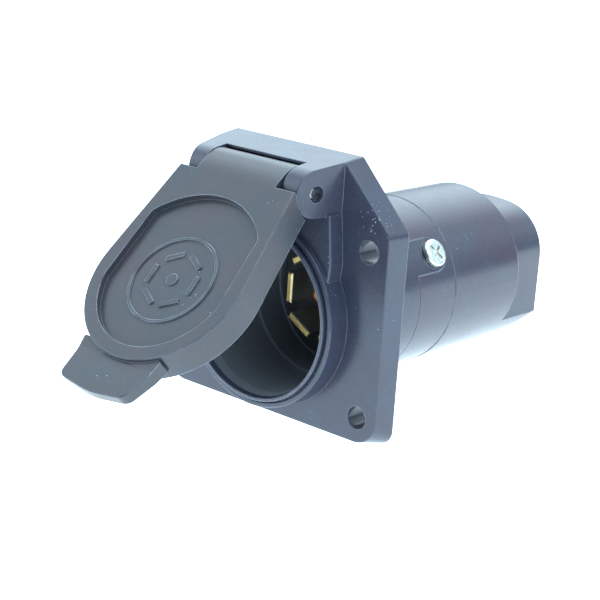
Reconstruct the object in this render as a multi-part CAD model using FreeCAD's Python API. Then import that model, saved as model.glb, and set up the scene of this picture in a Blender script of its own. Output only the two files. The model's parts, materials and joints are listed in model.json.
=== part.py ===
import FreeCAD, Part
import math
import os

# Vehicle-side seven-way trailer socket with a spring-closed lid.
# +Z is up, the socket axis lies along Y and its mouth faces -Y.
# The origin is on the socket axis, in the rear (mounting) face of the flange.

V = FreeCAD.Vector
X_AXIS = V(1, 0, 0)
Y_AXIS = V(0, 1, 0)
Z_AXIS = V(0, 0, 1)

# ---- driving dimensions, millimetres ----
FLANGE_T = 6.4            # flange thickness
FLANGE_HALF_W = 36.0      # half width across the vertical sides, front face
FLANGE_TOP_HALF = 20.7    # half width of the top edge
FLANGE_TOP_Z = 41.2
FLANGE_CHAMFER_Z = 26.0   # where each slanted shoulder meets the vertical side
FLANGE_BOTTOM_Z = -27.5
FLANGE_LOW_CORNER = 6.6   # radius of the lower corners on the front face
FLANGE_REAR_CORNER = 4.2  # the same corners on the rear face
FLANGE_DRAFT = 0.8        # how much larger the rear outline is, each side
BOLT_X = 30.15            # half the spacing of the mounting holes
BOLT_Z = 20.95
BOLT_R = 2.9

PLUG_R = 21.4             # bore that takes the plug
BLADE_ZONE_R = 20.6       # narrower bore beside the blades
MOUTH_R = 22.2
MOUTH_Y = -13.3
LIP_R = 23.1              # thin sealing lip around the mouth
LIP_GAP = 0.35            # shallow groove between the lip and the rim
RIM_R = 24.8
RIM_Y = -12.3
COLLAR_ROOT_R = 25.1

BARREL_R = 23.0
SEAM_Y = 25.7             # joint between front housing and rear shell
SEAM_GAP = 0.06
STEP_Y = 41.0
SHELL_R = 23.15
SHELL_END_R = 22.9
SHELL_END_Y = 71.0
SPIGOT_R = 21.3
SHELL_BORE_R = 19.3
SHELL_WIDE_R = 21.0

NUB_HALF_W = 18.8         # arched cable outlet behind the shell
NUB_TOP_Z = 17.5
NUB_TOP_R = 45.0          # flat middle of the arch, running into its rounder shoulders
NUB_TOP_ANGLE = 9.0
NUB_FLOOR_Z = -12.7       # underside of the outlet at its rear end
NUB_END_Y = 87.4
NUB_WALL = 2.2
CABLE_HOLE_R = 8.5
CABLE_R = 5.5
CLAMP_X = 10.8            # screws of the cable clamp
CLAMP_Y = 65.0
CLAMP_Z = 2.0             # top of the posts under the clamp

HINGE_Y = -14.35
HINGE_Z = 34.0
EAR_R = 6.0
EAR_INNER_X = 13.3
EAR_DRAFT = 0.197         # sideways lean of the ear faces, per mm towards the front
EAR_TOP_SLOPE = 0.143
EAR_BOTTOM_Z = 28.0
PIN_R = 1.5
PIN_END_X = 18.35
POCKET_R = 6.3            # hollow behind the lid knuckle
BLOCK_FRONT_Y = -11.8
NECK_Y = -11.0            # front of the neck between hinge and collar
SPRING_PAD_Y = -12.9      # front of the pad that holds the spring's fixed leg

LID_OPEN = 45.0           # degrees open in the rest pose
KNUCKLE_R = 5.8
KNUCKLE_BLEND_R = 20.0    # curve from the lid's face up onto the knuckle
KNUCKLE_LEFT = -13.15     # the lid sits against the left end of its play
KNUCKLE_RIGHT = 12.75
LID_FACE = 6.6            # outer face, in front of the hinge axis
LID_BACK = -0.95          # rear edge of the lid wall, relative to the hinge axis
LID_TOP = 4.35            # top edge, below the hinge axis
LID_TOP_HALF = 18.9
LID_R = 22.6
LID_CENTRE = 35.2         # centre of the round end, below the hinge axis
LID_DRAFT = 0.55
LID_WALL = 1.9
LID_PLATE = 3.4
NOTCH_R = 7.0             # clearance of the lid around the ears
SPRING_BAY = 8.2          # half length of the spring bay in the knuckle
SPRING_WIRE_R = 0.5
SPRING_COIL_R = 2.7
SPRING_PITCH = 1.26
SPRING_TURNS = 9
SPRING_LEG_HOUSING = 9.0
SPRING_LEG_LID = 8.8

CARRIER_FRONT_Y = 21.1
CARRIER_FLANGE_R = 21.3
CARRIER_FLANGE_T = 2.9
CARRIER_BODY_R = 19.1
CARRIER_BACK_Y = 36.5

SIDE_BLADE_R = 9.5        # pitch radius of the two upright blades
SLANT_BLADE_R = 10.8      # pitch radius of the four slanted blades
BLADE_W = 8.3
BLADE_T = 1.9
BLADE_FRONT_Y = 11.0
BLADE_BACK_Y = 45.0
TERMINAL_Y = 41.2

TONGUE_ANGLE = 32.0       # above the horizontal, one tongue each side
TONGUE_HALF_W = 4.75
SCREW_Y = 33.95
SCREW_SEAT = 22.6         # flat under the screw head, from the socket axis
SCREW_HEAD_R = 3.75

BLADES = {                # seen from the front: degrees from +X, and pitch radius
    "blade_battery": (60.0, SLANT_BLADE_R),
    "blade_right_turn": (0.0, SIDE_BLADE_R),
    "blade_brakes": (-60.0, SLANT_BLADE_R),
    "blade_ground": (-120.0, SLANT_BLADE_R),
    "blade_left_turn": (180.0, SIDE_BLADE_R),
    "blade_tail_lights": (120.0, SLANT_BLADE_R),
}


# ---- small helpers ----
def cylinder(radius, y0, y1, x=0.0, z=0.0):
    """A cylinder along +Y."""
    return Part.makeCylinder(radius, y1 - y0, V(x, y0, z), Y_AXIS)


def cross_cylinder(radius, x0, x1, y=HINGE_Y, z=HINGE_Z):
    """A cylinder along +X, by default on the hinge axis."""
    return Part.makeCylinder(radius, x1 - x0, V(x0, y, z), X_AXIS)


def block(x0, x1, y0, y1, z0, z1):
    return Part.makeBox(x1 - x0, y1 - y0, z1 - z0, V(x0, y0, z0))


def turned(points):
    """A solid turned about the socket axis from (radius, y) points."""
    wire = Part.makePolygon([V(r, y, 0) for r, y in points + points[:1]])
    return Part.Face(wire).revolve(V(0, 0, 0), Y_AXIS, 360)


def side_profile(edges, x0, x1):
    """A prism along X from edges drawn in the YZ plane."""
    face = Part.Face(Part.Wire(edges))
    face.translate(V(x0, 0, 0))
    return face.extrude(V(x1 - x0, 0, 0))


def side_polygon(points, x0, x1):
    """A prism along X from (y, z) corners."""
    wire = Part.makePolygon([V(x0, y, z) for y, z in points + points[:1]])
    return Part.Face(wire).extrude(V(x1 - x0, 0, 0))


def about_y(shape, angle):
    """Turn a shape that points along +X to the given angle above +X."""
    return shape.copy().rotate(V(0, 0, 0), Y_AXIS, -angle)


def about_hinge(shape, opening):
    """Swing a shape about the hinge; positive opens the lid."""
    return shape.copy().rotate(V(0, HINGE_Y, HINGE_Z), X_AXIS, -opening)


def round_rims(shape, rims, radius):
    """Fillet the full circles of a turned solid that are named by (radius, y)."""
    chosen = []
    for edge in shape.Edges:
        box = edge.BoundBox
        for rim_r, rim_y in rims:
            if abs(box.XMax - rim_r) + abs(box.YMin - rim_y) + abs(box.YMax - rim_y) < 0.01:
                chosen.append(edge)
    return shape.makeFillet(radius, chosen)


def round_front(shape, front_y, radius):
    """Fillet the edges that lie in the plane of the given y."""
    chosen = [e for e in shape.Edges if abs(e.BoundBox.YMin - front_y) + abs(e.BoundBox.YMax - front_y) < 0.01]
    return shape.makeFillet(radius, chosen)


def fuse(shapes):
    return shapes[0].multiFuse(shapes[1:]).removeSplitter()


def mirrored_x(shape):
    return shape.mirror(V(0, 0, 0), X_AXIS)


def rounded_outline(corners, y):
    """A closed wire in the plane of the given y from (x, z, corner radius)."""
    count = len(corners)
    joints = []
    for i, (x, z, radius) in enumerate(corners):
        here = V(x, y, z)
        before = V(corners[i - 1][0], y, corners[i - 1][1])
        after = V(corners[(i + 1) % count][0], y, corners[(i + 1) % count][1])
        to_before = (before - here).normalize()
        to_after = (after - here).normalize()
        half = to_before.getAngle(to_after) / 2
        reach = radius / math.tan(half)
        bisector = (to_before + to_after).normalize()
        middle = here + bisector * (radius / math.sin(half) - radius)
        joints.append((here + to_before * reach, middle, here + to_after * reach))
    edges = []
    for i, (start, middle, end) in enumerate(joints):
        edges.append(Part.Arc(start, middle, end).toShape())
        edges.append(Part.makeLine(end, joints[(i + 1) % count][0]))
    return Part.Wire(edges)


def spring_height():
    """Axial length of the coil, which makes whole turns plus the angle between its legs."""
    return SPRING_PITCH * (SPRING_TURNS + (90.0 + LID_OPEN) / 360)


def spring_start_x():
    return -spring_height() / 2


# ---- front housing ----
def flange_outline(grow, y, low_corner):
    half_w = FLANGE_HALF_W + grow
    top_half = FLANGE_TOP_HALF + grow / 2
    top_z = FLANGE_TOP_Z + grow
    bottom_z = FLANGE_BOTTOM_Z - grow
    corners = [
        (top_half, top_z, 0.8), (-top_half, top_z, 0.8),
        (-half_w, FLANGE_CHAMFER_Z, 3.0), (-half_w, bottom_z, low_corner),
        (half_w, bottom_z, low_corner), (half_w, FLANGE_CHAMFER_Z, 3.0),
    ]
    return rounded_outline(corners, y)


def flange():
    wires = [flange_outline(0, -FLANGE_T, FLANGE_LOW_CORNER),
             flange_outline(FLANGE_DRAFT, 0, FLANGE_REAR_CORNER)]
    return round_front(Part.makeLoft(wires, True, True), -FLANGE_T, 0.35)


def collar():
    """The round collar in front of the flange, with its stepped rim."""
    body = turned([
        (19.0, MOUTH_Y), (LIP_R, MOUTH_Y), (LIP_R, RIM_Y + 0.6), (LIP_R + LIP_GAP, RIM_Y + 0.6),
        (LIP_R + LIP_GAP, RIM_Y), (RIM_R, RIM_Y), (COLLAR_ROOT_R, -FLANGE_T),
        (COLLAR_ROOT_R, -1), (19.0, -1),
    ])
    body = round_rims(body, [(LIP_R, MOUTH_Y)], 0.25)
    return round_rims(body, [(LIP_R + LIP_GAP, RIM_Y), (RIM_R, RIM_Y)], 0.35)


def ear_profile_edges():
    """Rounded hinge ear seen from the side, running back into the flange."""
    tilt = math.atan(EAR_TOP_SLOPE)
    top = V(0, HINGE_Y - EAR_R * math.sin(tilt), HINGE_Z + EAR_R * math.cos(tilt))
    front = V(0, HINGE_Y - EAR_R, HINGE_Z)
    bottom = V(0, HINGE_Y, HINGE_Z - EAR_R)
    back_y = -1.0
    back_top = V(0, back_y, top.z + EAR_TOP_SLOPE * (back_y - top.y))
    back_low = V(0, back_y, EAR_BOTTOM_Z)
    return [
        Part.Arc(top, front, bottom).toShape(),
        Part.makeLine(bottom, back_low),
        Part.makeLine(back_low, back_top),
        Part.makeLine(back_top, top),
    ]


def right_ear():
    front_y = HINGE_Y - EAR_R - 1
    root_x = FLANGE_TOP_HALF + 0.1
    front_x = root_x + EAR_DRAFT * (front_y + FLANGE_T)
    plan = Part.makePolygon([
        V(EAR_INNER_X, front_y, 0), V(front_x, front_y, 0), V(root_x, -FLANGE_T, 0),
        V(root_x, 0, 0), V(EAR_INNER_X, 0, 0), V(EAR_INNER_X, front_y, 0),
    ])
    plan_prism = Part.Face(plan).extrude(V(0, 0, 60))
    ear = side_profile(ear_profile_edges(), EAR_INNER_X, root_x + 1).common(plan_prism)
    outer = [e for e in ear.Edges if e.CenterOfMass.x > 17.5 and e.BoundBox.YMax < -0.9]
    ear = ear.makeFillet(0.3, outer)
    hole = cross_cylinder(PIN_R, EAR_INNER_X - 1, 30)
    recess = cross_cylinder(PIN_R + 0.55, PIN_END_X - 0.3, 30)
    return ear.cut(hole).cut(recess)


def hinge_block():
    """Material between the ears, behind the knuckle, and the neck below it."""
    profile = side_profile(ear_profile_edges(), -EAR_INNER_X, EAR_INNER_X)
    bridge = profile.common(block(-30, 30, BLOCK_FRONT_Y, 0, 0, 60))
    pocket = cross_cylinder(POCKET_R, -EAR_INNER_X, EAR_INNER_X)
    return fuse([bridge, neck(), block(-11, 11, SPRING_PAD_Y, -1, 20, 28.6)]).cut(pocket)


def neck():
    """Raised pad from the hinge down to the collar, its sides running into the collar."""
    outline = Part.makePolygon([
        V(-20.9, NECK_Y, 28.6), V(20.9, NECK_Y, 28.6), V(22.2, NECK_Y, 16.5), V(21.6, NECK_Y, 10),
        V(-21.6, NECK_Y, 10), V(-22.2, NECK_Y, 16.5), V(-20.9, NECK_Y, 28.6),
    ])
    pad = Part.Face(outline).extrude(V(0, -1 - NECK_Y, 0))
    sides = [e for e in pad.Edges if e.BoundBox.YMax < NECK_Y + 0.01 and abs(e.CenterOfMass.x) > 21]
    return pad.makeFillet(0.5, sides)


def tongue_prism(margin, reach_from):
    """Straight strip with a round end, pointing along +X, for tongue and notch."""
    half = TONGUE_HALF_W + margin
    strip = block(15, 30, reach_from, SCREW_Y, -half, half)
    tip = Part.makeCylinder(half, 15, V(15, SCREW_Y, 0), X_AXIS)
    return strip.fuse(tip)


def right_tongue():
    ring = turned([(SPIGOT_R + 0.1, 20), (BARREL_R, 20), (BARREL_R, 45), (SPIGOT_R + 0.1, 45)])
    strip = about_y(tongue_prism(0, SEAM_Y - 1.5), TONGUE_ANGLE)
    return ring.common(strip)


def side_screw_cutter(radius, near, far):
    """Round tool along the side screw's axis, between two distances from the axis."""
    tool = Part.makeCylinder(radius, far - near, V(near, SCREW_Y, 0), X_AXIS)
    return about_y(tool, TONGUE_ANGLE)


def both_sides(shape):
    return shape.fuse(mirrored_x(shape))


def front_housing():
    barrel = cylinder(BARREL_R, -1, SEAM_Y)
    barrel = round_rims(barrel, [(BARREL_R, SEAM_Y)], 0.2)
    ears = [right_ear(), mirrored_x(right_ear())]
    body = fuse([flange(), collar(), barrel, hinge_block()] + ears)
    bore = turned([
        (0, MOUTH_Y - 1), (MOUTH_R + 0.15, MOUTH_Y - 1), (MOUTH_R + 0.15, MOUTH_Y),
        (MOUTH_R, MOUTH_Y + 0.2), (PLUG_R, -9.0), (PLUG_R, BLADE_FRONT_Y - 0.5),
        (BLADE_ZONE_R, BLADE_FRONT_Y - 0.5), (BLADE_ZONE_R, CARRIER_FRONT_Y - 1.6),
        (BLADE_ZONE_R - 0.6, CARRIER_FRONT_Y - 1.6), (BLADE_ZONE_R - 0.6, CARRIER_FRONT_Y),
        (PLUG_R, CARRIER_FRONT_Y), (PLUG_R, SEAM_Y + 1), (0, SEAM_Y + 1),
    ])
    keyway = block(-2.6, 2.6, MOUTH_Y - 1, -0.8, 15, PLUG_R + 1.5)
    body = body.cut(bore).cut(keyway)
    body = fuse([body, right_tongue(), mirrored_x(right_tongue())])
    seats = both_sides(side_screw_cutter(SCREW_HEAD_R + 0.25, SCREW_SEAT, 30))
    clearance_holes = both_sides(side_screw_cutter(1.9, 15, 30))
    body = body.cut(seats).cut(clearance_holes)
    for x in (-BOLT_X, BOLT_X):
        for z in (-BOLT_Z, BOLT_Z):
            body = body.cut(cylinder(BOLT_R, -10, 2, x, z))
    spring_hole = Part.makeCylinder(SPRING_WIRE_R + 0.15, 6.0,
                                    V(spring_start_x(), HINGE_Y + SPRING_COIL_R, HINGE_Z - 4),
                                    V(0, 0, -1))
    return body.cut(spring_hole)


# ---- hinge ----
def hinge_pin():
    pin = cross_cylinder(PIN_R, -PIN_END_X, PIN_END_X)
    rims = [e for e in pin.Edges if abs(abs(e.CenterOfMass.x) - PIN_END_X) < 0.01]
    return pin.makeFillet(0.5, rims)


def lid_outline(half_top, radius, y):
    """Lid edge: straight top, sides running into the round lower end."""
    centre = V(0, y, HINGE_Z - LID_CENTRE)
    corner = V(half_top, y, HINGE_Z - LID_TOP)
    reach = corner - centre
    bearing = math.atan2(reach.z, reach.x) - math.acos(radius / reach.Length)
    touch = centre + V(radius * math.cos(bearing), 0, radius * math.sin(bearing))
    low = centre + V(0, 0, -radius)
    left_corner = V(-corner.x, y, corner.z)
    left_touch = V(-touch.x, y, touch.z)
    return Part.Wire([
        Part.makeLine(left_corner, corner), Part.makeLine(corner, touch),
        Part.Arc(touch, low, left_touch).toShape(), Part.makeLine(left_touch, left_corner),
    ])


def lid_block(shrink, face, back):
    """Drafted solid of the lid outline between two distances from the hinge axis."""
    wires = [
        lid_outline(LID_TOP_HALF - shrink, LID_R - shrink, HINGE_Y - face),
        lid_outline(LID_TOP_HALF + LID_DRAFT - shrink, LID_R + LID_DRAFT - shrink,
                    HINGE_Y - back),
    ]
    return Part.makeLoft(wires, True, True)


def panel_recess():
    """Shallow arched recess in the outer face."""
    face_y = HINGE_Y - LID_FACE
    depth = 1.8
    centre_z = HINGE_Z - LID_CENTRE
    right_top = V(17.6, face_y, HINGE_Z - 19.0)
    left_top = V(-17.6, face_y, HINGE_Z - 19.0)
    crown = V(0, face_y, HINGE_Z - 10.6)
    low = V(0, face_y, centre_z - 19.0)
    right_low = V(18.7, face_y, centre_z - 3.3)
    left_low = V(-18.7, face_y, centre_z - 3.3)
    wire = Part.Wire([
        Part.Arc(left_top, crown, right_top).toShape(), Part.makeLine(right_top, right_low),
        Part.Arc(right_low, low, left_low).toShape(), Part.makeLine(left_low, left_top),
    ])
    return Part.Face(wire).extrude(V(0, depth, 0)), face_y + depth


def pin_symbol(floor_y):
    """Raised plan of the seven contacts: a ring, six bars and a centre dot."""
    sunk = 0.2
    relief = sunk + 0.4
    centre = V(0, floor_y + sunk, HINGE_Z - LID_CENTRE + 0.8)
    outward = V(0, -1, 0)
    ring = Part.makeCylinder(12.2, relief, centre, outward)
    ring = ring.cut(Part.makeCylinder(11.4, relief, centre, outward))
    pieces = [ring, Part.makeCylinder(1.6, relief, centre, outward)]
    for angle, _ in BLADES.values():
        bar = Part.makeBox(1.3, relief, 5.2, V(6.2, sunk - relief, -2.6))
        bar.translate(V(0, floor_y, 0))
        bar = about_y(bar, angle)
        bar.translate(V(0, 0, centre.z))
        pieces.append(bar)
    return pieces


def finger_tab():
    """Tapered lip below the lid, flared slightly outwards, with a thumb groove."""
    root_z = HINGE_Z - LID_CENTRE - LID_R + 3.0
    tip_z = HINGE_Z - 68.4
    face = HINGE_Y - LID_FACE
    corners = [
        (-13.2, root_z, 0.5), (12.6, root_z, 0.5), (10.6, tip_z + 1.6, 2.5),
        (0, tip_z, 24.0), (-11.4, tip_z + 1.6, 2.5),
    ]
    prism = Part.Face(rounded_outline(corners, face - 4)).extrude(V(0, 12, 0))
    side = side_polygon([
        (face + 1.0, root_z + 1), (face + 1.0, root_z - 3.0), (face - 1.3, tip_z - 1),
        (face + 1.5, tip_z - 1), (face + 4.4, root_z - 4.5), (face + 5.2, root_z + 1),
    ], -15, 15)
    tab = prism.common(side)
    front_edges = [e for e in tab.Edges if e.BoundBox.YMax < face + 1.1 and e.BoundBox.ZMin < root_z - 4]
    return tab.makeFillet(0.4, front_edges)


def knuckle():
    """Roll that turns on the pin, with a web down to the lid plate."""
    roll = cross_cylinder(KNUCKLE_R, KNUCKLE_LEFT, KNUCKLE_RIGHT)
    reach = KNUCKLE_BLEND_R - KNUCKLE_R
    back = KNUCKLE_BLEND_R - LID_FACE
    low = math.sqrt(reach ** 2 - back ** 2)
    lean = math.atan2(low, back)
    x = KNUCKLE_LEFT
    centre = V(x, HINGE_Y + back, HINGE_Z - low)
    face_end = V(x, HINGE_Y - LID_FACE, HINGE_Z - low)
    middle = centre + V(0, -math.cos(lean / 2), math.sin(lean / 2)) * KNUCKLE_BLEND_R
    touch = centre + V(0, -math.cos(lean), math.sin(lean)) * KNUCKLE_BLEND_R
    face_start = V(x, HINGE_Y - LID_FACE, HINGE_Z - 7.5)
    rear_foot = V(x, HINGE_Y - 1.0, HINGE_Z - 7.5)
    axis = V(x, HINGE_Y, HINGE_Z)
    outline = Part.Wire([
        Part.makeLine(face_start, face_end), Part.Arc(face_end, middle, touch).toShape(),
        Part.makeLine(touch, axis), Part.makeLine(axis, rear_foot), Part.makeLine(rear_foot, face_start),
    ])
    web = Part.Face(outline).extrude(V(KNUCKLE_RIGHT - KNUCKLE_LEFT, 0, 0))
    return roll.fuse(web)


def spring_bay():
    """Hollow in the knuckle for the coil, open below and behind."""
    coil_room = cross_cylinder(3.75, -SPRING_BAY, SPRING_BAY)
    sweep = []
    for angle in (-60, -20, 20, 58):
        wedge = side_polygon([
            (0, 0), (9 * math.cos(math.radians(angle - 20)), 9 * math.sin(math.radians(angle - 20))),
            (9 * math.cos(math.radians(angle + 20)), 9 * math.sin(math.radians(angle + 20))),
        ], -SPRING_BAY, SPRING_BAY)
        wedge.translate(V(0, HINGE_Y, HINGE_Z))
        sweep.append(wedge)
    return fuse([coil_room] + sweep)


def lid_closed():
    shell = round_front(lid_block(0, LID_FACE, LID_BACK), HINGE_Y - LID_FACE, 0.3)
    hollow = lid_block(LID_WALL, LID_FACE - LID_PLATE, LID_BACK - 0.5)
    hollow = hollow.cut(block(-30, 30, -60, 10, HINGE_Z - 9.5, 60))
    shell = shell.cut(hollow)
    shell = shell.cut(cross_cylinder(NOTCH_R, KNUCKLE_RIGHT, 30))
    shell = shell.cut(cross_cylinder(NOTCH_R, -30, KNUCKLE_LEFT))
    recess, floor_y = panel_recess()
    shell = fuse([shell, knuckle(), finger_tab().cut(hollow)])
    shell = shell.cut(recess)
    shell = fuse([shell] + pin_symbol(floor_y))
    shell = shell.cut(cross_cylinder(PIN_R + 0.06, -30, 30))
    shell = shell.cut(spring_bay())
    leg_channel = block(5.2, 7.6, HINGE_Y - 4.3, HINGE_Y - 1.8, HINGE_Z - 9.5, HINGE_Z)
    return shell.cut(leg_channel)


def plug_catch():
    """Hook inside the lower wall of the lid that holds a plug in."""
    back = HINGE_Y - LID_BACK
    foot_z = HINGE_Z - LID_CENTRE - LID_R - 0.2
    return side_polygon([
        (back - 4.2, foot_z + 2.0), (back - 0.3, foot_z + 2.0), (back - 0.3, foot_z - 1.6),
        (back - 1.6, foot_z - 1.6), (back - 4.2, foot_z - 0.2),
    ], -4.5, 4.5)


def lid():
    closed = fuse([lid_closed(), plug_catch()])
    return about_hinge(closed, LID_OPEN)


def lid_gasket():
    """Rubber pad in the lid with a rim that plugs the mouth of the bore."""
    seat = lid_block(LID_WALL + 0.15, LID_FACE - LID_PLATE, LID_BACK)
    seat = seat.common(block(-30, 30, -60, 10, -60, HINGE_Z - 9.7))
    mouth_y = HINGE_Y - LID_BACK
    rim = turned([(17.6, mouth_y - 1.0), (20.6, mouth_y - 1.0), (20.6, mouth_y),
                  (21.6, mouth_y + 0.2), (21.4, mouth_y + 0.9), (20.4, mouth_y + 0.9), (17.6, mouth_y)])
    centre_relief = cylinder(17.6, mouth_y - 2.2, mouth_y + 2)
    rim_clear = rim.common(block(-30, 30, -60, 10, -60, HINGE_Z - 9.7))
    pad = fuse([seat.common(cylinder(21.0, -60, 0, 0, 0)), rim_clear]).cut(centre_relief)
    return about_hinge(pad, LID_OPEN)


def lid_spring():
    """Torsion spring on the pin: one leg in the housing, one along the lid plate."""
    first_turn = 90.0
    last_turn = first_turn + 90.0 + LID_OPEN
    helix = Part.makeHelix(SPRING_PITCH, spring_height(), SPRING_COIL_R)
    helix.rotate(V(0, 0, 0), Y_AXIS, 90)
    helix.rotate(V(0, 0, 0), X_AXIS, first_turn)
    helix.translate(V(spring_start_x(), HINGE_Y, HINGE_Z))
    edge = helix.Edges[0]
    begin = edge.valueAt(edge.FirstParameter)
    finish = edge.valueAt(edge.LastParameter)
    section = Part.Wire(Part.makeCircle(SPRING_WIRE_R, begin, edge.tangentAt(edge.FirstParameter)))
    coil = Part.Wire([edge]).makePipeShell([section], True, True)
    along_lid = V(0, math.cos(math.radians(last_turn)), math.sin(math.radians(last_turn)))
    legs = [
        Part.makeCylinder(SPRING_WIRE_R, SPRING_LEG_HOUSING, begin, V(0, 0, -1)),
        Part.makeCylinder(SPRING_WIRE_R, SPRING_LEG_LID, finish, along_lid),
        Part.makeSphere(SPRING_WIRE_R, begin), Part.makeSphere(SPRING_WIRE_R, finish),
    ]
    return fuse([coil] + legs)


# ---- contacts ----
def contact_carrier():
    body = fuse([
        cylinder(CARRIER_FLANGE_R, CARRIER_FRONT_Y, CARRIER_FRONT_Y + CARRIER_FLANGE_T),
        cylinder(CARRIER_BODY_R, CARRIER_FRONT_Y, CARRIER_BACK_Y),
        cylinder(4.2, CARRIER_FRONT_Y - 3.0, CARRIER_BACK_Y),
    ])
    ribs = []
    for i in range(6):
        rib = block(4.6, 17.5, CARRIER_BACK_Y - 1, CARRIER_BACK_Y + 9.0, -0.7, 0.7)
        ribs.append(about_y(rib, 30 + 60 * i))
    body = fuse([body] + ribs)
    for angle, pitch_r in BLADES.values():
        slot = block(pitch_r - BLADE_T / 2, pitch_r + BLADE_T / 2,
                     CARRIER_FRONT_Y - 5, CARRIER_BACK_Y + 1, -BLADE_W / 2, BLADE_W / 2)
        body = body.cut(about_y(slot, angle))
    body = body.cut(cylinder(2.4, CARRIER_FRONT_Y - 5, CARRIER_BACK_Y + 1))
    return body.cut(both_sides(side_screw_cutter(1.5, CARRIER_BODY_R - 6.2, 30)))


def blade(angle, pitch_r):
    """Flat contact: blade in front of the carrier, terminal lug behind it."""
    inner = pitch_r - BLADE_T / 2
    outer = pitch_r + BLADE_T / 2
    strip = block(inner, outer, BLADE_FRONT_Y, BLADE_BACK_Y, -BLADE_W / 2, BLADE_W / 2)
    tip = [e for e in strip.Edges if e.BoundBox.YMax < BLADE_FRONT_Y + 0.01]
    strip = strip.makeChamfer(0.35, tip)
    hole = Part.makeCylinder(1.6, 6, V(inner - 2, TERMINAL_Y, 0), X_AXIS)
    return about_y(strip.cut(hole), angle)


def centre_pin():
    """Round centre contact with a flat terminal at its rear end."""
    pin = round_rims(cylinder(2.4, BLADE_FRONT_Y, 49), [(2.4, BLADE_FRONT_Y)], 1.9)
    pin = pin.fuse(block(-3.4, 3.4, 48, 56, -2.4, 2.4))
    return pin.cut(Part.makeCylinder(1.6, 10, V(0, 52, -5), Z_AXIS))


def terminal_stack(make):
    """The same piece at all seven terminals, kept as separate solids."""
    pieces = []
    for angle, pitch_r in BLADES.values():
        piece = make()
        piece.translate(V(pitch_r + BLADE_T / 2, TERMINAL_Y, 0))
        pieces.append(about_y(piece, angle))
    piece = make()
    piece.translate(V(2.4, 52, 0))
    pieces.append(about_y(piece, 90))
    return Part.makeCompound(pieces)


def clamp_plate():
    plate = block(0, 1.0, -3.0, 3.0, -3.0, 3.0)
    plate = plate.makeFillet(0.5, [e for e in plate.Edges if abs(e.tangentAt(0).x) > 0.9])
    return plate.cut(Part.makeCylinder(1.7, 3, V(-1, 0, 0), X_AXIS))


def terminal_screw():
    head = Part.makeCylinder(2.7, 1.9, V(1.0, 0, 0), X_AXIS)
    head = head.makeFillet(0.5, [e for e in head.Edges if e.BoundBox.XMin > 2.8])
    shank = Part.makeCylinder(1.6, 5.4, V(-4.2, 0, 0), X_AXIS)
    slot = block(2.1, 4, -4, 4, -0.4, 0.4)
    return head.fuse(shank).cut(slot)


# ---- rear shell and what it holds ----
def outlet_profile(inset, y0, y1):
    """Arch-topped section of the cable outlet, its floor cut on a slant."""
    bend = math.radians(NUB_TOP_ANGLE)
    shoulder_r = (NUB_HALF_W - NUB_TOP_R * math.sin(bend)) / (1 - math.sin(bend))
    centre_x = NUB_HALF_W - shoulder_r
    centre_z = NUB_TOP_Z - NUB_TOP_R + (NUB_TOP_R - shoulder_r) * math.cos(bend)
    shoulder_r -= inset
    half = NUB_HALF_W - inset
    round_r = SHELL_END_R - inset
    foot_z = -math.sqrt(round_r ** 2 - half ** 2)
    top = V(0, y0, NUB_TOP_Z - inset)
    join = V(centre_x + shoulder_r * math.sin(bend), y0, centre_z + shoulder_r * math.cos(bend))
    half_way = (math.radians(90) + bend) / 2
    shoulder = V(centre_x + shoulder_r * math.sin(half_way), y0, centre_z + shoulder_r * math.cos(half_way))
    spring = V(half, y0, centre_z)
    left = [V(-p.x, p.y, p.z) for p in (join, shoulder, spring)]
    section = Part.Wire([
        Part.Arc(left[0], top, join).toShape(),
        Part.Arc(join, shoulder, spring).toShape(),
        Part.makeLine(spring, V(half, y0, foot_z)),
        Part.Arc(V(half, y0, foot_z), V(0, y0, -round_r), V(-half, y0, foot_z)).toShape(),
        Part.makeLine(V(-half, y0, foot_z), left[2]),
        Part.Arc(left[2], left[1], left[0]).toShape(),
    ])
    slope = (SHELL_END_R + NUB_FLOOR_Z) / (NUB_END_Y - SHELL_END_Y)
    floor = -SHELL_END_R + inset
    under = side_polygon([
        (SHELL_END_Y, floor), (NUB_END_Y + 5, floor + slope * (NUB_END_Y + 5 - SHELL_END_Y)),
        (NUB_END_Y + 5, -50), (SHELL_END_Y, -50),
    ], -40, 40)
    return Part.Face(section).extrude(V(0, y1 - y0, 0)).cut(under)


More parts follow.
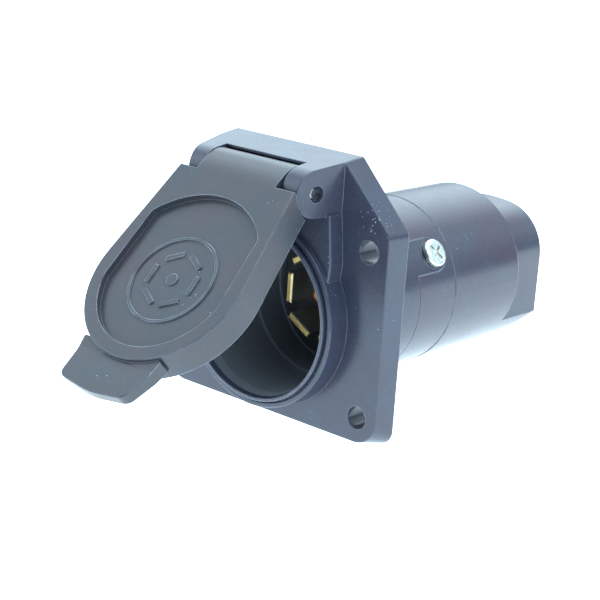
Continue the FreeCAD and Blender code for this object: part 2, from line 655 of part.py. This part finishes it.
def rear_shell():
    outer = turned([
        (0, SEAM_Y - 1.6), (SPIGOT_R, SEAM_Y - 1.6), (SPIGOT_R, SEAM_Y + SEAM_GAP),
        (BARREL_R, SEAM_Y + SEAM_GAP), (BARREL_R, STEP_Y), (SHELL_R, STEP_Y),
        (SHELL_END_R, SHELL_END_Y), (0, SHELL_END_Y),
    ])
    outer = round_rims(outer, [(BARREL_R, SEAM_Y + SEAM_GAP)], 0.2)
    outer = round_rims(outer, [(SHELL_R, STEP_Y)], 0.12)
    outer = round_rims(outer, [(SHELL_END_R, SHELL_END_Y)], 0.6)
    outlet = outlet_profile(0, SHELL_END_Y - 1, NUB_END_Y)
    rims = [e for e in outlet.Edges if e.BoundBox.YMin > NUB_END_Y - 0.01]
    outlet = outlet.makeFillet(0.5, rims)
    hollow = turned([
        (0, SEAM_Y - 3), (SHELL_BORE_R, SEAM_Y - 3), (SHELL_BORE_R, STEP_Y),
        (SHELL_WIDE_R, STEP_Y + 1.7), (SHELL_WIDE_R - 0.3, SHELL_END_Y - 2.2), (0, SHELL_END_Y - 2.2),
    ])
    outlet_room = outlet_profile(NUB_WALL, SHELL_END_Y - 4, NUB_END_Y - NUB_WALL)
    shell = fuse([outer, outlet]).cut(hollow).cut(outlet_room)
    shell = shell.cut(cylinder(CABLE_HOLE_R, NUB_END_Y - 5, NUB_END_Y + 5))
    bosses = []
    for x in (-CLAMP_X, CLAMP_X):
        post = Part.makeCylinder(3.2, 24.0, V(x, CLAMP_Y, CLAMP_Z - 24.0), Z_AXIS)
        bosses.append(post.common(cylinder(SHELL_WIDE_R + 0.8, CLAMP_Y - 5, CLAMP_Y + 5)))
    shell = fuse([shell] + bosses)
    for x in (-CLAMP_X, CLAMP_X):
        shell = shell.cut(Part.makeCylinder(1.5, 8.0, V(x, CLAMP_Y, CLAMP_Z - 8.0), Z_AXIS))
    notch = about_y(tongue_prism(SEAM_GAP, SEAM_Y - 0.5), TONGUE_ANGLE)
    notch = notch.cut(cylinder(SPIGOT_R, 0, 60))
    shell = shell.cut(both_sides(notch))
    return shell.cut(both_sides(side_screw_cutter(1.9, 10, 30)))


def shell_screw():
    """Pan-head screw lying on the tongue, along +X, with a cross slot."""
    head = Part.makeCylinder(SCREW_HEAD_R, 1.9, V(SCREW_SEAT, SCREW_Y, 0), X_AXIS)
    rim = [e for e in head.Edges if e.BoundBox.XMin > SCREW_SEAT + 1.8]
    head = head.makeFillet(0.7, rim)
    shank = Part.makeCylinder(1.5, 9.3, V(SCREW_SEAT - 9.2, SCREW_Y, 0), X_AXIS)
    screw = head.fuse(shank)
    for turn in (0, 90):
        slot = block(SCREW_SEAT + 1.0, 30, SCREW_Y - 2.4, SCREW_Y + 2.4, -0.45, 0.45)
        slot.rotate(V(0, SCREW_Y, 0), X_AXIS, 35 + turn)
        screw = screw.cut(slot)
    return about_y(screw, TONGUE_ANGLE)


def shell_screws():
    screw = shell_screw()
    return Part.makeCompound([screw, mirrored_x(screw)])


def cable_grommet():
    """Rubber bush in the cable hole, flanged inside and out."""
    return turned([
        (CABLE_R, NUB_END_Y - 7.0), (CABLE_R + 1.8, NUB_END_Y - 7.0),
        (CABLE_HOLE_R + 1.6, NUB_END_Y - NUB_WALL - 1.2),
        (CABLE_HOLE_R + 1.6, NUB_END_Y - NUB_WALL),
        (CABLE_HOLE_R, NUB_END_Y - NUB_WALL), (CABLE_HOLE_R, NUB_END_Y),
        (CABLE_HOLE_R + 1.4, NUB_END_Y), (CABLE_HOLE_R + 1.4, NUB_END_Y + 0.8),
        (CABLE_HOLE_R + 0.8, NUB_END_Y + 1.4), (CABLE_R + 0.4, NUB_END_Y + 1.4),
        (CABLE_R, NUB_END_Y + 1.0),
    ])


def cable_clamp():
    """Saddle bar over the cable, screwed down to two posts of the shell."""
    y0 = CLAMP_Y - 3
    y1 = CLAMP_Y + 3
    ends = block(-13, 13, y0, y1, CLAMP_Z, CLAMP_Z + 2.8)
    ends = ends.makeFillet(1.2, [e for e in ends.Edges if abs(e.tangentAt(0).z) > 0.9])
    arch = cylinder(CABLE_R + 2.8, y0, y1).common(block(-13, 13, y0, y1, CLAMP_Z, 20))
    bar = ends.fuse(arch).cut(cylinder(CABLE_R + 0.3, y0 - 1, y1 + 1))
    for x in (-CLAMP_X, CLAMP_X):
        bar = bar.cut(Part.makeCylinder(1.6, 6, V(x, CLAMP_Y, CLAMP_Z - 1), Z_AXIS))
    return bar


def cable_clamp_screws():
    screws = []
    seat = CLAMP_Z + 2.8
    for x in (-CLAMP_X, CLAMP_X):
        head = Part.makeCylinder(2.4, 1.6, V(x, CLAMP_Y, seat), Z_AXIS)
        shank = Part.makeCylinder(1.5, 9.8, V(x, CLAMP_Y, seat - 9.6), Z_AXIS)
        slot = block(x - 3, x + 3, CLAMP_Y - 0.35, CLAMP_Y + 0.35, seat + 0.8, seat + 3)
        screws.append(head.fuse(shank).cut(slot))
    return Part.makeCompound(screws)


def write(name, shape):
    shape.exportStep("parts/%s.step" % name)


def main():
    os.makedirs("parts", exist_ok=True)
    write("front_housing", front_housing())
    write("rear_shell", rear_shell())
    write("shell_screws", shell_screws())
    write("cable_grommet", cable_grommet())
    write("cable_clamp", cable_clamp())
    write("cable_clamp_screws", cable_clamp_screws())
    write("contact_carrier", contact_carrier())
    for name, (angle, pitch_r) in BLADES.items():
        write(name, blade(angle, pitch_r))
    write("centre_pin", centre_pin())
    write("terminal_clamps", terminal_stack(clamp_plate))
    write("terminal_screws", terminal_stack(terminal_screw))
    write("lid", lid())
    write("lid_gasket", lid_gasket())
    write("hinge_pin", hinge_pin())
    write("lid_spring", lid_spring())


main()
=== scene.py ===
import json
import math

import bpy
from mathutils import Matrix, Vector


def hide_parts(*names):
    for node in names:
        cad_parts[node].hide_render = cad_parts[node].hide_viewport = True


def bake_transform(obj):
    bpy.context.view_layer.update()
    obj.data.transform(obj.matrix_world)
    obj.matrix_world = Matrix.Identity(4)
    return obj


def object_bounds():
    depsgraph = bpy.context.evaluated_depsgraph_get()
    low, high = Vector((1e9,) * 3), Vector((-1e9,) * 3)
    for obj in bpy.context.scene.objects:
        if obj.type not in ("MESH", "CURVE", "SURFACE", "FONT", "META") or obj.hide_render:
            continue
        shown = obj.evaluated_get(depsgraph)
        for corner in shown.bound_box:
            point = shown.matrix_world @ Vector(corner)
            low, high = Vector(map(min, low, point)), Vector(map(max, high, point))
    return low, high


# The trailer socket of the CAD model in its materials, on a white light table.
# The spring is the only piece added here: it stands for the CAD spring.

# ---- driving values: metres and degrees, in the frame of the CAD model ----
CAMERA_AZIMUTH = 40.89
CAMERA_ELEVATION = 16.30
CAMERA_ROLL = 3.76
CAMERA_DISTANCE = 0.42638
CAMERA_LENS = 99.82
CAMERA_SHIFT = (0.0201, 0.0050)
FLOOR_SIZE = 12.0
FLOOR_GLOW = 2.8
LIGHT_TINT = (0.79, 0.98, 1.08)
BACKDROP_GLOW = 1.6       # what the camera sees behind the object; it lights nothing
DOME_BASE = 0.05
DOME_LIGHT_EDGE = 45.0    # degrees from a soft light's centre to where it fades out
# Most of these strengths were not chosen by hand: a scratch least-squares program fitted test
# renders to the photograph's brightness, and its results were rounded. Afterwards left_low,
# front_left and front_right were changed, and behind_high a little.
DOME_LIGHTS = (           # name, azimuth right of straight behind, elevation, strength
    ("behind_high", 0, 42, 3.1),
    ("behind_left", -45, 40, 0.65),
    ("behind_right", 45, 42, 0.75),
    ("left_high", -90, 45, 1.0),
    ("left_low", -90, 10, 1.9),
    ("right_high", 90, 45, 0.9),
    ("right_low", 85, 10, 0.4),
    ("overhead", 0, 90, 1.8),
    ("front_left", -135, 40, 0.4),
    ("front_right", 135, 45, 2.6),
)
NYLON_EDGE = 0.00030      # radius that nylon edges look rounded to
# painted highlights: pale lines along outer nylon edges stand in for the light that rounded edges catch
EDGE_HIGHLIGHT_REACH = 0.00035    # width of the painted highlight line along nylon edges
EDGE_HIGHLIGHT_COLOUR = (0.23, 0.26, 0.33)
HOLLOW_REACH = 0.0015     # how close a wall has to be to keep an edge free of the painted highlight
DUST_COLOUR = (0.60, 0.64, 0.66)
DUST_SPACING = 0.0014
THICK_DUST_SPACING = 0.0008
# thick dust lies on the flange's front face, beside and above the upper right mounting hole
DUST_ASIDE = 0.00085
DUST_ABOVE = 0.00755
DUST_REACH = 0.009
FLANGE_THICKNESS = 0.0064
BORE_MARGIN = 0.0005      # the bore's painted lighter colour reaches this far past the plug bore's wall
BORE_FRONT = -0.0132      # just inside the mouth, from the flange's rear face
# painted light: the bore walls get a lighter, duller colour than the rest of the same nylon
BORE_PAINTED_LIGHT_COLOUR = (0.120, 0.135, 0.160)
BORE_ROUGHNESS = 0.55

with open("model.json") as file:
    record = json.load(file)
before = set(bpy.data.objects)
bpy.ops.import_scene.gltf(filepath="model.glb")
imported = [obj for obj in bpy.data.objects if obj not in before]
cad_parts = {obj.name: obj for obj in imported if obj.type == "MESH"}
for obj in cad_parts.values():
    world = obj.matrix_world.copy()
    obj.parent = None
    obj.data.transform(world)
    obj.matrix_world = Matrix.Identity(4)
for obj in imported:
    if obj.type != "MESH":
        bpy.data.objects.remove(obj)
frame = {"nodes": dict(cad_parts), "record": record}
cad_low, cad_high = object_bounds()


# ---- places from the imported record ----
def mount_sizes(name):
    """The dimensions of one mount, in millimetres."""
    return next(m["dims"] for m in frame["record"]["mounts"] if m["name"] == name)


def dust_point():
    bolts = mount_sizes("flange_bolts")
    return (bolts["spacing_x_mm"] / 2000 + DUST_ASIDE, -FLANGE_THICKNESS,
            bolts["spacing_y_mm"] / 2000 + DUST_ABOVE)


def bore_radius():
    return mount_sizes("plug_bore")["r_mm"] / 1000 + BORE_MARGIN


# ---- node helpers ----
class Nodes:
    """Short calls for one material's node tree."""

    def __init__(self, name):
        self.material = bpy.data.materials.new(name)
        self.material.use_nodes = True
        self.tree = self.material.node_tree
        self.tree.nodes.clear()
        self.output = self.add("ShaderNodeOutputMaterial")
        self.shader = self.add("ShaderNodeBsdfPrincipled")
        self.link(self.shader.outputs[0], self.output.inputs[0])
        self.place = self.add("ShaderNodeTexCoord").outputs["Object"]

    def add(self, kind, **settings):
        node = self.tree.nodes.new(kind)
        for key, value in settings.items():
            setattr(node, key, value)
        return node

    def link(self, source, target):
        self.tree.links.new(source, target)

    def noise(self, size, detail=3.0, roughness=0.55, stretch=(1, 1, 1)):
        """Noise whose grains are about size metres across."""
        mapping = self.add("ShaderNodeMapping")
        mapping.inputs["Scale"].default_value = [s / size for s in stretch]
        self.link(self.place, mapping.inputs["Vector"])
        node = self.add("ShaderNodeTexNoise")
        node.inputs["Scale"].default_value = 1.0
        node.inputs["Detail"].default_value = detail
        node.inputs["Roughness"].default_value = roughness
        self.link(mapping.outputs[0], node.inputs["Vector"])
        return node.outputs["Fac"]

    def cells(self, size, feature="F1"):
        mapping = self.add("ShaderNodeMapping")
        mapping.inputs["Scale"].default_value = [1 / size] * 3
        self.link(self.place, mapping.inputs["Vector"])
        node = self.add("ShaderNodeTexVoronoi", feature=feature)
        node.inputs["Scale"].default_value = 1.0
        self.link(mapping.outputs[0], node.inputs["Vector"])
        return node

    def remap(self, value, low, high, out_low=0.0, out_high=1.0):
        node = self.add("ShaderNodeMapRange")
        node.inputs["From Min"].default_value = low
        node.inputs["From Max"].default_value = high
        node.inputs["To Min"].default_value = out_low
        node.inputs["To Max"].default_value = out_high
        self.link(value, node.inputs["Value"])
        return node.outputs["Result"]

    def math(self, operation, first, second):
        node = self.add("ShaderNodeMath", operation=operation)
        for socket, value in zip(node.inputs, (first, second)):
            if isinstance(value, (int, float)):
                socket.default_value = value
            else:
                self.link(value, socket)
        return node.outputs[0]

    def mix(self, factor, first, second, blend="MIX"):
        node = self.add("ShaderNodeMix", data_type="RGBA", blend_type=blend)
        for socket, value in zip((node.inputs[0], node.inputs[6], node.inputs[7]),
                                 (factor, first, second)):
            if isinstance(value, (int, float)):
                socket.default_value = value
            elif isinstance(value, tuple):
                socket.default_value = (*value, 1.0)
            else:
                self.link(value, socket)
        return node.outputs[2]

    def edges(self, radius, low=0.93, high=0.999):
        """1 on edges and corners sharper than the given radius, 0 on open faces."""
        bevel = self.add("ShaderNodeBevel", samples=6)
        bevel.inputs["Radius"].default_value = radius
        geometry = self.add("ShaderNodeNewGeometry")
        dot = self.add("ShaderNodeVectorMath", operation="DOT_PRODUCT")
        self.link(bevel.outputs[0], dot.inputs[0])
        self.link(geometry.outputs["Normal"], dot.inputs[1])
        return self.remap(dot.outputs["Value"], low, high, 1.0, 0.0)

    def open_places(self, reach):
        """1 on open faces and outer edges, 0 in hollow corners."""
        shade = self.add("ShaderNodeAmbientOcclusion", samples=4)
        shade.inputs["Distance"].default_value = reach
        return self.remap(shade.outputs["AO"], 0.60, 0.80)

    def soft_edges(self, radius):
        """Normal that rounds sharp edges over, so that they catch the light."""
        bevel = self.add("ShaderNodeBevel", samples=6)
        bevel.inputs["Radius"].default_value = radius
        return bevel.outputs[0]

    def near(self, point, reach):
        """1 at a point of the part, fading to 0 at the given distance from it."""
        gap = self.add("ShaderNodeVectorMath", operation="DISTANCE")
        gap.inputs[1].default_value = point
        self.link(self.place, gap.inputs[0])
        return self.remap(gap.outputs["Value"], 0.0, reach, 1.0, 0.0)

    def inside_bore(self):
        """1 on the walls of the socket's bore, 0 elsewhere."""
        axes = self.add("ShaderNodeSeparateXYZ")
        self.link(self.place, axes.inputs[0])
        across = self.math("MULTIPLY", axes.outputs["X"], axes.outputs["X"])
        upward = self.math("MULTIPLY", axes.outputs["Z"], axes.outputs["Z"])
        within = self.math("LESS_THAN", self.math("ADD", across, upward), bore_radius() ** 2)
        return self.math("MULTIPLY", within, self.math("GREATER_THAN", axes.outputs["Y"], BORE_FRONT))

    def facing(self, direction):
        """1 on faces that look along the given direction of the part."""
        dot = self.add("ShaderNodeVectorMath", operation="DOT_PRODUCT")
        dot.inputs[1].default_value = direction
        self.link(self.add("ShaderNodeTexCoord").outputs["Normal"], dot.inputs[0])
        return self.remap(dot.outputs["Value"], 0.55, 0.9)

    def bump(self, height, distance, strength, below=None):
        node = self.add("ShaderNodeBump")
        node.inputs["Distance"].default_value = distance
        node.inputs["Strength"].default_value = strength
        self.link(height, node.inputs["Height"])
        if below is not None:
            self.link(below, node.inputs["Normal"])
        return node.outputs[0]


# ---- materials ----
def painted_edge_highlights(n, colour, where, edge_highlight_and_wear):
    """The colour with pale lines painted in patches along outer edges: painted highlights, as if the
    edges caught the light.
    """
    line = n.math("MULTIPLY", n.edges(EDGE_HIGHLIGHT_REACH), n.remap(n.noise(0.0045, 4.0), 0.30, 0.55))
    line = n.math("MULTIPLY", line, n.open_places(HOLLOW_REACH))
    amount = n.math("MULTIPLY", n.math("MULTIPLY", line, where), edge_highlight_and_wear)
    return n.mix(amount, colour, EDGE_HIGHLIGHT_COLOUR)


def dusted(n, colour, where):
    """The colour with a few scattered specks, and many of them round the dust point."""
    grain_size = n.math("MULTIPLY", n.remap(n.noise(0.012, 2.0), 0.55, 0.64), 0.07)
    grains = n.math("LESS_THAN", n.cells(DUST_SPACING).outputs["Distance"], grain_size)
    thick_size = n.math("MULTIPLY", n.near(dust_point(), DUST_REACH), 0.18)
    thick_dust = n.math("LESS_THAN", n.cells(THICK_DUST_SPACING).outputs["Distance"], thick_size)
    speck = n.math("MULTIPLY", n.math("MAXIMUM", grains, thick_dust), where)
    return n.mix(speck, colour, DUST_COLOUR)


def moulded_nylon(name, dark, light, rough, edge_highlight_and_wear=0.7, bore=False):
    """Injection-moulded nylon: slightly cloudy, satin, with painted highlights along its edges, a
    lighter painted colour on the bore walls, and a little dust.
    """
    n = Nodes(name)
    colour = n.mix(n.remap(n.noise(0.012, 4.0), 0.38, 0.62), dark, light)
    fine = n.math("MULTIPLY", n.remap(n.noise(0.0009, 3.0, 0.6), 0.52, 0.75), 0.3)
    colour = n.mix(fine, colour, tuple(c * 1.8 for c in light))
    roughness = n.remap(n.noise(0.007, 5.0), 0.3, 0.7, rough - 0.03, rough + 0.04)
    outside = 1.0
    if bore:
        inside = n.inside_bore()
        outside = n.math("SUBTRACT", 1.0, inside)
        # painted light on the bore walls
        colour = n.mix(inside, colour, BORE_PAINTED_LIGHT_COLOUR)
        roughness = n.math("MAXIMUM", roughness, n.math("MULTIPLY", inside, BORE_ROUGHNESS))
    # painted highlights along the outer edges
    colour = painted_edge_highlights(n, colour, outside, edge_highlight_and_wear)
    colour = dusted(n, colour, outside)
    n.link(colour, n.shader.inputs["Base Color"])
    n.link(roughness, n.shader.inputs["Roughness"])
    n.shader.inputs["IOR"].default_value = 1.5
    waves = n.bump(n.noise(0.006, 3.0), 0.00006, 0.3, n.soft_edges(NYLON_EDGE))
    grain = n.bump(n.noise(0.00035, 3.0, 0.6), 0.000012, 0.35, waves)
    n.link(grain, n.shader.inputs["Normal"])
    return n.material


def rubber(name):
    """Black rubber: dull, slightly cloudy, with a fine grain."""
    n = Nodes(name)
    cloud = n.remap(n.noise(0.004, 4.0), 0.35, 0.65)
    colour = n.mix(cloud, (0.010, 0.011, 0.013), (0.022, 0.023, 0.027))
    n.link(colour, n.shader.inputs["Base Color"])
    n.link(n.remap(n.noise(0.002, 4.0), 0.3, 0.7, 0.5, 0.75), n.shader.inputs["Roughness"])
    n.link(n.bump(n.noise(0.0004, 4.0), 0.00004, 0.6), n.shader.inputs["Normal"])
    return n.material


def metal(name, bright, dull, rough, grain=(1, 1, 1), edge_highlight_and_wear=0.35, painted_side_shade=None):
    """Metal with slow clouds, drawing lines along the grain and rubbed edges.

    A painted shade colour covers every face that doesn't look out of the socket's mouth, as if those
    sides lay in shade.
    """
    n = Nodes(name)
    cloud = n.noise(0.006, 3.0, 0.5)
    colour = n.mix(n.remap(cloud, 0.35, 0.68), bright, dull)
    edge = n.math("MULTIPLY", n.edges(0.00025), edge_highlight_and_wear)
    colour = n.mix(edge, colour, tuple(min(1.0, c * 1.2) for c in bright))
    if painted_side_shade:
        # painted shade: faces that don't look out of the mouth take the shade colour
        colour = n.mix(n.facing((0, -1, 0)), painted_side_shade, colour)
    n.link(colour, n.shader.inputs["Base Color"])
    n.shader.inputs["Metallic"].default_value = 1.0
    roughness = n.remap(n.noise(0.0015, 3.0), 0.3, 0.7, rough - 0.04, rough + 0.06)
    n.link(roughness, n.shader.inputs["Roughness"])
    n.link(n.bump(n.noise(0.0006, 2.0, 0.5, grain), 0.00001, 0.4, n.soft_edges(0.00015)),
           n.shader.inputs["Normal"])
    return n.material


def plated_steel(name):
    """Zinc plate: flat crystal patches in slightly different silver greens."""
    n = Nodes(name)
    patches = n.cells(0.0011)
    tone = n.math("FRACT", n.math("MULTIPLY", patches.outputs["Color"], 3.7), 0)
    colour = n.mix(n.remap(tone, 0.2, 0.9), (0.74, 0.72, 0.68), (0.52, 0.60, 0.58))
    edge = n.math("MULTIPLY", n.edges(0.00020), 0.5)
    colour = n.mix(edge, colour, (0.86, 0.84, 0.80))
    n.link(colour, n.shader.inputs["Base Color"])
    n.shader.inputs["Metallic"].default_value = 1.0
    n.link(n.remap(n.noise(0.0012, 3.0), 0.3, 0.7, 0.24, 0.36), n.shader.inputs["Roughness"])
    n.link(n.bump(tone, 0.00004, 0.5, n.soft_edges(0.0002)), n.shader.inputs["Normal"])
    return n.material


def paint(names, material):
    for name in names:
        node = frame["nodes"][name]
        node.data.materials.clear()
        node.data.materials.append(material)


def dress():
    paint(["front_housing"],
          moulded_nylon("nylon_housing", (0.034, 0.033, 0.056), (0.033, 0.040, 0.068), 0.25, bore=True))
    paint(["rear_shell", "cable_clamp"],
          moulded_nylon("nylon_shell", (0.045, 0.034, 0.056), (0.037, 0.041, 0.064), 0.25, edge_highlight_and_wear=1.0))
    paint(["lid"],
          moulded_nylon("nylon_lid", (0.044, 0.038, 0.048), (0.034, 0.040, 0.052), 0.30, edge_highlight_and_wear=1.0))
    paint(["contact_carrier"],
          moulded_nylon("nylon_carrier", (0.028, 0.031, 0.038), (0.036, 0.039, 0.047), 0.45))
    paint(["lid_gasket", "cable_grommet"], rubber("black_rubber"))
    blades = [name for name in frame["nodes"] if name.startswith("blade_")]
    # the blades and the centre pin get painted shade on faces that don't look out of the mouth
    paint(blades, metal("contact_brass", (0.98, 0.70, 0.27), (0.90, 0.60, 0.20), 0.34, (1, 0.12, 1),
                        painted_side_shade=(0.62, 0.57, 0.48)))
    paint(["centre_pin"], metal("pin_copper", (0.50, 0.20, 0.08), (0.30, 0.12, 0.06), 0.40,
                                painted_side_shade=(0.14, 0.10, 0.09)))
    paint(["terminal_clamps"], metal("plate_brass", (0.86, 0.60, 0.22), (0.66, 0.44, 0.15), 0.30))
    paint(["shell_screws", "cable_clamp_screws"], plated_steel("zinc_plate"))
    paint(["terminal_screws"], metal("nickel_steel", (0.72, 0.70, 0.62), (0.52, 0.50, 0.45), 0.28))
    paint(["hinge_pin"], metal("drawn_steel", (0.34, 0.35, 0.36), (0.20, 0.21, 0.22), 0.24))
    paint(["lid_spring"], metal("spring_wire", (0.46, 0.46, 0.46), (0.30, 0.30, 0.30), 0.32))


# ---- the lid spring ----
def add_spring():
    """The spring as one wire that twists along its coil.

    It is a copy of the CAD spring's mesh, shown in place of the CAD spring.
    """
    node = frame["nodes"]["lid_spring"]
    wire = bpy.data.objects.new("lid_spring_wire", node.data.copy())
    bpy.context.scene.collection.objects.link(wire)
    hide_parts("lid_spring")
    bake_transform(wire)


# ---- surroundings: a white light table under a dome of soft lights ----
def toward(azimuth, elevation):
    """Unit direction; azimuth turns to the right from straight behind the object."""
    turn = math.radians(azimuth - CAMERA_AZIMUTH)
    rise = math.radians(elevation)
    return Vector((math.sin(turn) * math.cos(rise), math.cos(turn) * math.cos(rise), math.sin(rise)))


def add_floor():
    bpy.ops.mesh.primitive_plane_add(size=FLOOR_SIZE, location=(0, 0, cad_low.z))
    floor = bpy.context.object
    floor.name = "studio_floor"
    n = Nodes("floor_white")
    n.shader.inputs["Base Color"].default_value = (0.0, 0.0, 0.0, 1.0)
    n.shader.inputs["Roughness"].default_value = 1.0
    n.shader.inputs["Specular IOR Level"].default_value = 0.0
    n.shader.inputs["Emission Color"].default_value = (*LIGHT_TINT, 1.0)
    n.shader.inputs["Emission Strength"].default_value = FLOOR_GLOW
    floor.data.materials.append(n.material)


def add_world():
    world = bpy.data.worlds.new("studio")
    bpy.context.scene.world = world
    world.use_nodes = True
    tree = world.node_tree
    background = tree.nodes["Background"]
    background.inputs["Color"].default_value = (*LIGHT_TINT, 1.0)
    direction = tree.nodes.new("ShaderNodeTexCoord").outputs["Generated"]
    total = None
    for name, azimuth, elevation, strength in DOME_LIGHTS:
        dot = tree.nodes.new("ShaderNodeVectorMath")
        dot.operation = "DOT_PRODUCT"
        dot.inputs[1].default_value = toward(azimuth, elevation)
        tree.links.new(direction, dot.inputs[0])
        lobe = tree.nodes.new("ShaderNodeMapRange")
        lobe.name = name
        lobe.interpolation_type = "SMOOTHSTEP"
        lobe.inputs["From Min"].default_value = math.cos(math.radians(DOME_LIGHT_EDGE))
        lobe.inputs["To Max"].default_value = strength
        tree.links.new(dot.outputs["Value"], lobe.inputs["Value"])
        add = tree.nodes.new("ShaderNodeMath")
        add.inputs[0].default_value = DOME_BASE
        if total is not None:
            tree.links.new(total, add.inputs[0])
        tree.links.new(lobe.outputs["Result"], add.inputs[1])
        total = add.outputs[0]
    seen = tree.nodes.new("ShaderNodeLightPath").outputs["Is Camera Ray"]
    strength = tree.nodes.new("ShaderNodeMix")
    strength.inputs["B"].default_value = BACKDROP_GLOW
    tree.links.new(seen, strength.inputs["Factor"])
    tree.links.new(total, strength.inputs["A"])
    tree.links.new(strength.outputs["Result"], background.inputs["Strength"])


def add_camera():
    azimuth = math.radians(CAMERA_AZIMUTH)
    elevation = math.radians(CAMERA_ELEVATION)
    back = Vector((math.sin(azimuth) * math.cos(elevation),
                   -math.cos(azimuth) * math.cos(elevation), math.sin(elevation)))
    data = bpy.data.cameras.new("camera")
    data.lens = CAMERA_LENS
    data.sensor_width = 36.0
    data.shift_x, data.shift_y = CAMERA_SHIFT
    data.clip_start, data.clip_end = 0.01, 50.0
    camera = bpy.data.objects.new("camera", data)
    right = (-back).cross(Vector((0, 0, 1))).normalized()
    up = right.cross(-back)
    roll = math.radians(CAMERA_ROLL)
    rolled_right = right * math.cos(roll) + up * math.sin(roll)
    rolled_up = up * math.cos(roll) - right * math.sin(roll)
    turn = Matrix((rolled_right, rolled_up, back)).transposed()
    camera.matrix_world = Matrix.Translation(back * CAMERA_DISTANCE) @ turn.to_4x4()
    bpy.context.scene.collection.objects.link(camera)
    bpy.context.scene.camera = camera


dress()
add_spring()
add_floor()
add_world()
add_camera()
bpy.context.scene.view_settings.view_transform = "Standard"
